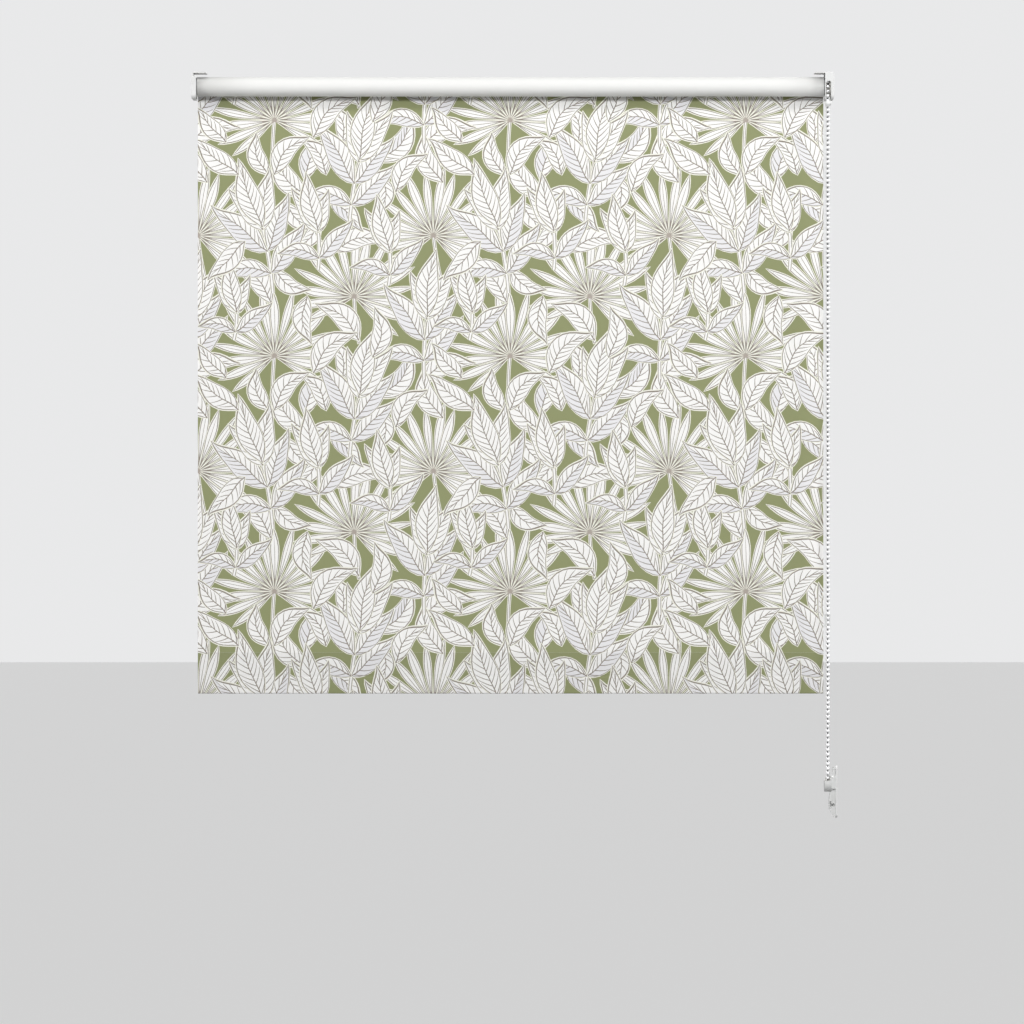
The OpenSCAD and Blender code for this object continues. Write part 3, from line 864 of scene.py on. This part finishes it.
def apply_modifiers(piece):
    """Keeps a piece's shape with its modifiers as its mesh"""
    bpy.context.view_layer.update()
    shape = piece.evaluated_get(bpy.context.evaluated_depsgraph_get())
    data = bpy.data.meshes.new_from_object(shape)
    piece.modifiers.clear()
    piece.data = data


def make_roll(reverse, inner):
    """The fabric wound on the tube, with its white side out, which leaves the roll at the back"""
    outer_r = ROLL_R
    inner_r = TUBE_TAPE_R
    turns = (outer_r - FABRIC_T - inner_r) / WRAP_PITCH
    steps = round(turns * ROLL_STEPS)
    half = FABRIC_W / 2
    across = ROLL_COLUMNS
    mesh = bmesh.new()
    rows = []
    for i in range(steps + 1):
        turn = turns * i / steps
        r = outer_r - WRAP_PITCH * turn
        if turn < FLARE_TURN:
            r += FLARE * (1 - turn / FLARE_TURN) ** 2
        a = 2 * math.pi * turn
        row = []
        for radius in (r, r - FABRIC_T):
            for k in range(across + 1):
                x = -half + FABRIC_W * k / across
                sag = UNEVEN * math.sin(7.3 * k + 2.1 * turn) * (0 < k < across)
                y, z = (radius + sag) * math.cos(a), AXIS_Z + (radius + sag) * math.sin(a)
                row.append(mesh.verts.new((x, y, z)))
        rows.append(row)
    wide = across + 1
    for low, high in zip(rows, rows[1:]):
        for k in range(across):
            mesh.faces.new((low[k], low[k + 1], high[k + 1], high[k]))
            face = mesh.faces.new((low[wide + k], high[wide + k], high[wide + k + 1], low[wide + k + 1]))
            face.material_index = 1
        mesh.faces.new((low[0], high[0], high[wide], low[wide]))
        mesh.faces.new((low[across], low[wide + across], high[wide + across], high[across]))
    for row in (rows[0], rows[-1]):
        for k in range(across):
            mesh.faces.new((row[k], row[wide + k], row[wide + k + 1], row[k + 1]))
    bmesh.ops.recalc_face_normals(mesh, faces=mesh.faces)
    piece = finished("wound_roll", mesh, [reverse, inner], True)
    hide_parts("wound_fabric")
    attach(piece, "roller")
    return piece


# Idle pin


def make_pin_spring(steel):
    """The spring behind the idle pin, with its end turns closed"""
    steps_per_turn = 24
    sides = 10
    closed = 2.2 * WIRE_R
    pitch = (SPRING_LENGTH - 2 * closed) / (SPRING_TURNS - 2)
    along = Vector((1, 0, 0))
    mesh = bmesh.new()
    rings = []
    x = SPRING_X
    for i in range(SPRING_TURNS * steps_per_turn + 1):
        a = 2 * math.pi * i / steps_per_turn
        out = Vector((0, math.cos(a), math.sin(a)))
        middle = Vector((x, 0, AXIS_Z)) + SPRING_R * out
        corners = [2 * math.pi * j / sides for j in range(sides)]
        rings.append([
            mesh.verts.new(middle + WIRE_R * (math.cos(b) * out + math.sin(b) * along)) for b in corners
        ])
        is_end = i < steps_per_turn or i >= (SPRING_TURNS - 1) * steps_per_turn
        x += (closed if is_end else pitch) / steps_per_turn
    for low, high in zip(rings, rings[1:]):
        for j in range(sides):
            mesh.faces.new((low[j - 1], low[j], high[j], high[j - 1]))
    mesh.faces.new(rings[0])
    mesh.faces.new(rings[-1])
    bmesh.ops.recalc_face_normals(mesh, faces=mesh.faces)
    piece = finished("pin_spring", mesh, [steel], True)
    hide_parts("idle_spring")
    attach(piece, "roller")
    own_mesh(piece)
    return piece


# Chain

def chain_route(step):
    """Places round the loop, from the drive wheel down the room side, every step along it"""
    tilt = math.asin((WHEEL_R - PULLEY_R) / CHAIN_DROP)
    straight = math.sqrt(CHAIN_DROP ** 2 - (WHEEL_R - PULLEY_R) ** 2)
    low_arc = PULLEY_R * (math.pi - 2 * tilt)
    top_arc = WHEEL_R * (math.pi + 2 * tilt)
    total = 2 * straight + low_arc + top_arc
    count = round(total / step)
    step = total / count
    down = ((-WHEEL_R * math.cos(tilt), AXIS_Z - WHEEL_R * math.sin(tilt)),
            (-PULLEY_R * math.cos(tilt), PULLEY_Z - PULLEY_R * math.sin(tilt)))
    places = []
    for i in range(count):
        s = i * step
        if s < straight:
            t = s / straight
            y, z = (down[0][k] + (down[1][k] - down[0][k]) * t for k in (0, 1))
        elif s < straight + low_arc:
            a = math.pi + tilt + (s - straight) / PULLEY_R
            y, z = PULLEY_R * math.cos(a), PULLEY_Z + PULLEY_R * math.sin(a)
        elif s < 2 * straight + low_arc:
            t = 1 - (s - straight - low_arc) / straight
            y, z = (down[0][k] + (down[1][k] - down[0][k]) * t for k in (0, 1))
            y = -y
        else:
            a = -tilt + (s - 2 * straight - low_arc) / WHEEL_R
            y, z = WHEEL_R * math.cos(a), AXIS_Z + WHEEL_R * math.sin(a)
        places.append(Vector((CHAIN_X, y, z)))
    return places


def bead_and_link():
    """One bead, flattened where its links go in, and the link after it, along Z"""
    mesh = bmesh.new()
    bmesh.ops.create_uvsphere(mesh, u_segments=14, v_segments=9, radius=BEAD_R)
    for corner in mesh.verts:
        corner.co.z = max(-0.9 * BEAD_R, min(0.9 * BEAD_R, corner.co.z))
    for face in mesh.faces:
        # The flat ends, where the links go into the holes, take the second material, a painted shade for
        # the holes
        face.material_index = int(abs(face.calc_center_median().z) > 0.8 * BEAD_R)
    shell = set(mesh.faces)
    middle = Matrix.Translation((0, 0, BEAD_PITCH / 2))
    bmesh.ops.create_cone(
        mesh, segments=8, radius1=LINK_R, radius2=LINK_R, depth=BEAD_PITCH - 1.5 * BEAD_R, matrix=middle
    )
    # The links take the same painted shade, which stands for the shade in the gaps between beads
    for face in set(mesh.faces) - shell:
        face.material_index = 1
    mesh.verts.index_update()
    corners = [corner.co.copy() for corner in mesh.verts]
    faces = [[corner.index for corner in face.verts] for face in mesh.faces]
    shades = [face.material_index for face in mesh.faces]
    mesh.free()
    return corners, faces, shades


def make_chain(nickel, gap_shade):
    """The endless chain of hollow beads on short wire links, with painted shade on the links and where
    they go in
    """
    corners, faces, shades = bead_and_link()
    beads = chain_route(BEAD_PITCH)
    points, rings = [], []
    for place, after in zip(beads, beads[1:] + beads[:1]):
        turn = (after - place).to_track_quat("Z", "X").to_matrix().to_4x4()
        rings += [[len(points) + k for k in face] for face in faces]
        points += [(Matrix.Translation(place) @ turn @ corner) * MM for corner in corners]
    data = bpy.data.meshes.new("beaded_chain")
    data.from_pydata(points, [], rings)
    data.materials.append(nickel)
    data.materials.append(gap_shade)
    for face, shade in zip(data.polygons, shades * len(beads)):
        face.use_smooth = True
        face.material_index = shade
    piece = bpy.data.objects.new("beaded_chain", data)
    bpy.context.scene.collection.objects.link(piece)
    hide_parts("bead_chain")
    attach(piece, "root")
    path = [place * MM for place in chain_route(8.0)]
    path.append(path[0])
    return piece


def main():
    make_camera()
    nickel = metal("nickel beads", (0.95, 0.95, 0.96), (0.86, 0.86, 0.87), (0.36, 0.5), shine=0.75)
    # A near-black steel, painted shade for the bead holes and the gaps between beads
    gap_shade = metal("painted shade in bead holes and links", (0.2, 0.2, 0.2), (0.14, 0.14, 0.14), (0.4, 0.6))
    make_chain(nickel, gap_shade)
    make_stage()
    make_lights()
    finishes = make_finishes()
    paint_cad_nodes(finishes)
    make_pin_spring(finishes["spring_steel"])
    inks, shaded_hem_inks = make_inks()
    reverse = cloth("fabric reverse", linear(240, 240, 238), (0.7, 0.85))
    tile = print_tile()
    drop = make_drop(tile, inks, reverse)
    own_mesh(drop)
    # The hem band is printed with the inks' painted-shade copies
    make_hem_band(tile, shaded_hem_inks, reverse)
    make_roll(reverse, inks[LEAF])


main()
